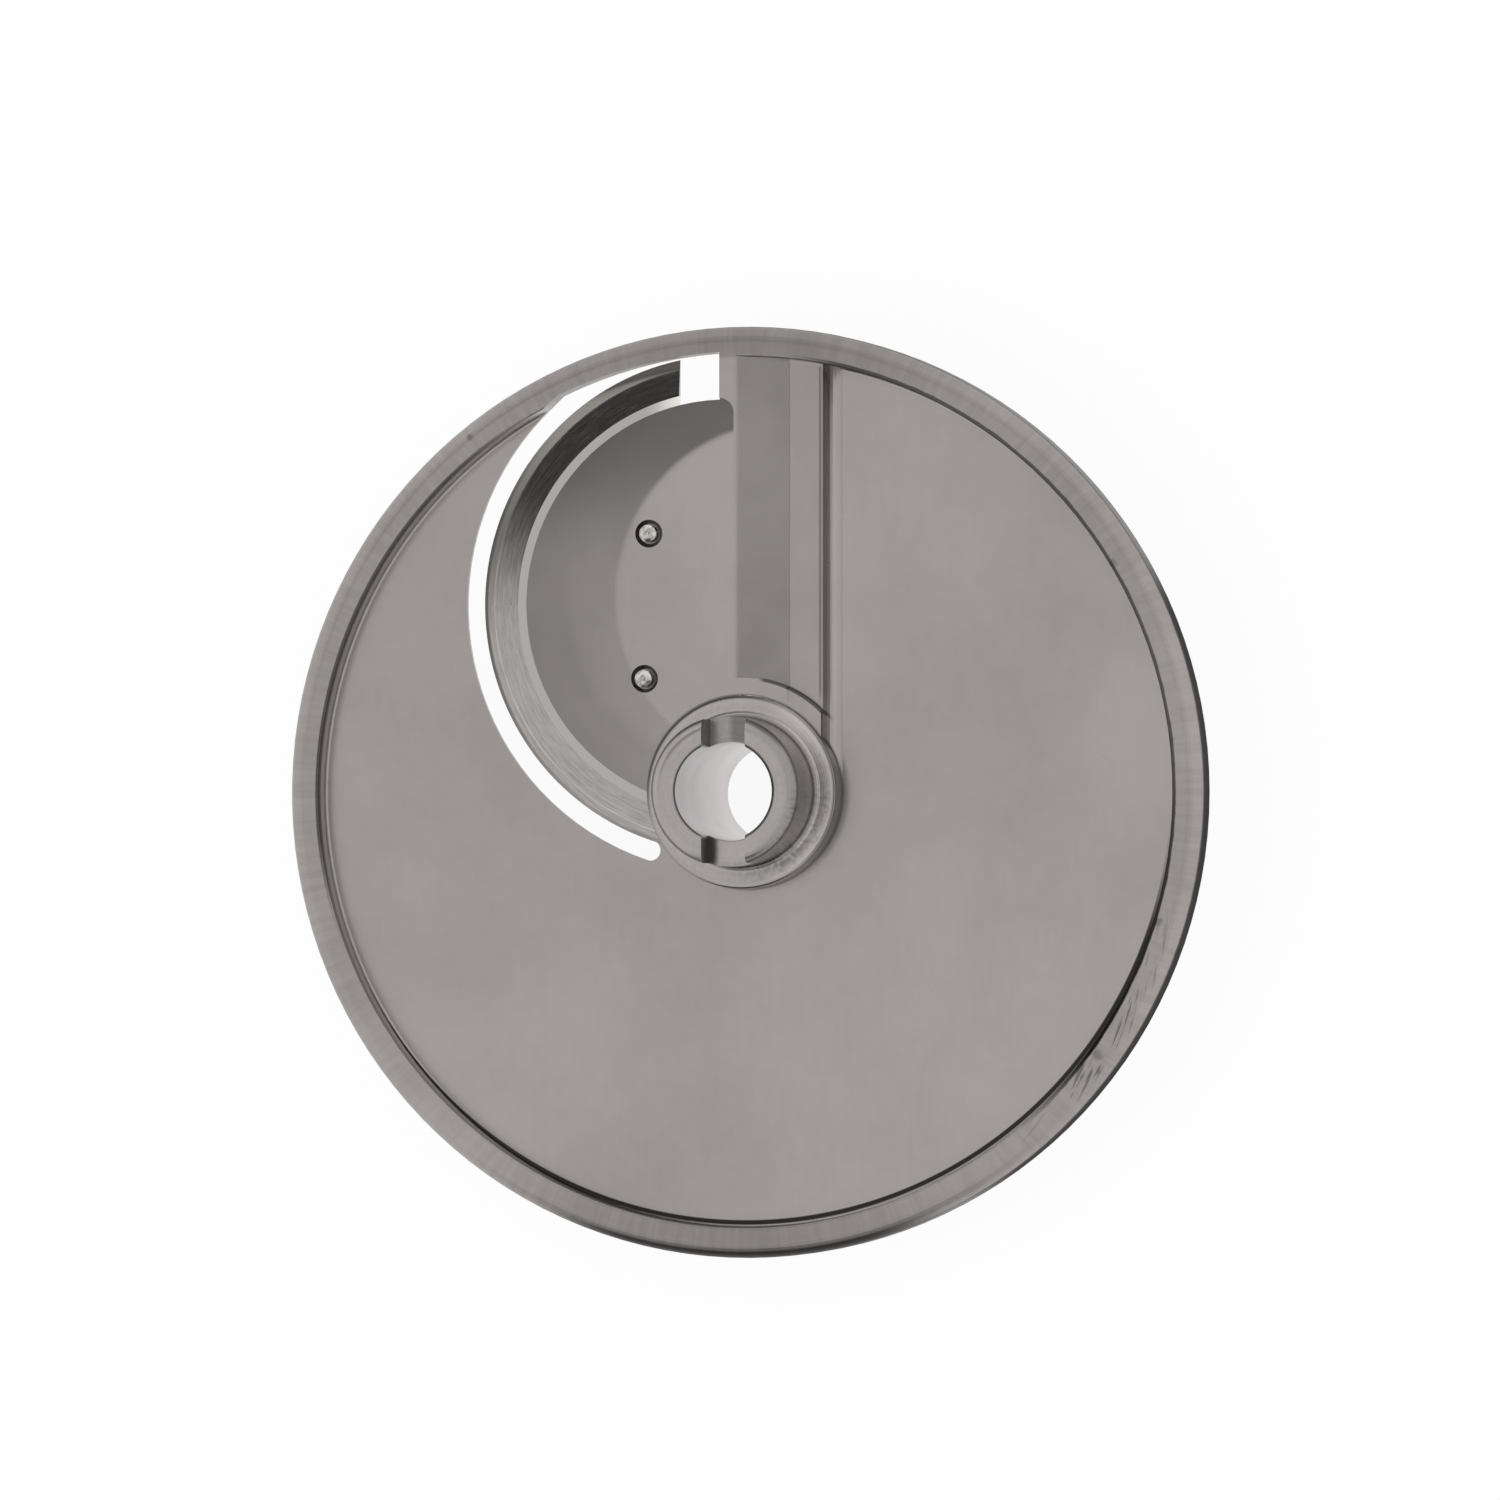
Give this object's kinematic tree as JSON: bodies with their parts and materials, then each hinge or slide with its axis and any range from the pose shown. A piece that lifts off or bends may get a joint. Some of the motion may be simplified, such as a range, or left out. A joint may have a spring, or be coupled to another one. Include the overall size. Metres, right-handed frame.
{
  "type": "food processor slicing disc",
  "caption": "Round pressed steel slicing disc with a raised rim, a curved blade riveted under its raised sector and a notched central hub.",
  "frame": {"origin": "on the axis of the hub's bore, at the hub's foot", "axes": "+Z along the bore towards the notched top of the hub, on the blade's side of the disc; +Y from the bore along the long ramp; the blade is on the -X +Y side"},
  "size_m": [0.19, 0.19, 0.0545],
  "materials": {
    "plate": "satin, with fine scratches",
    "blade": "ground, with fine lines across the bevel",
    "hub": "turned and lightly polished",
    "rivet": "polished"
  },
  "bodies": {
    "root": {"disc_plate": "plate", "blade": "blade", "hub": "hub", "rivet_upper": "rivet", "rivet_lower": "rivet"}
  },
  "joints": []
}
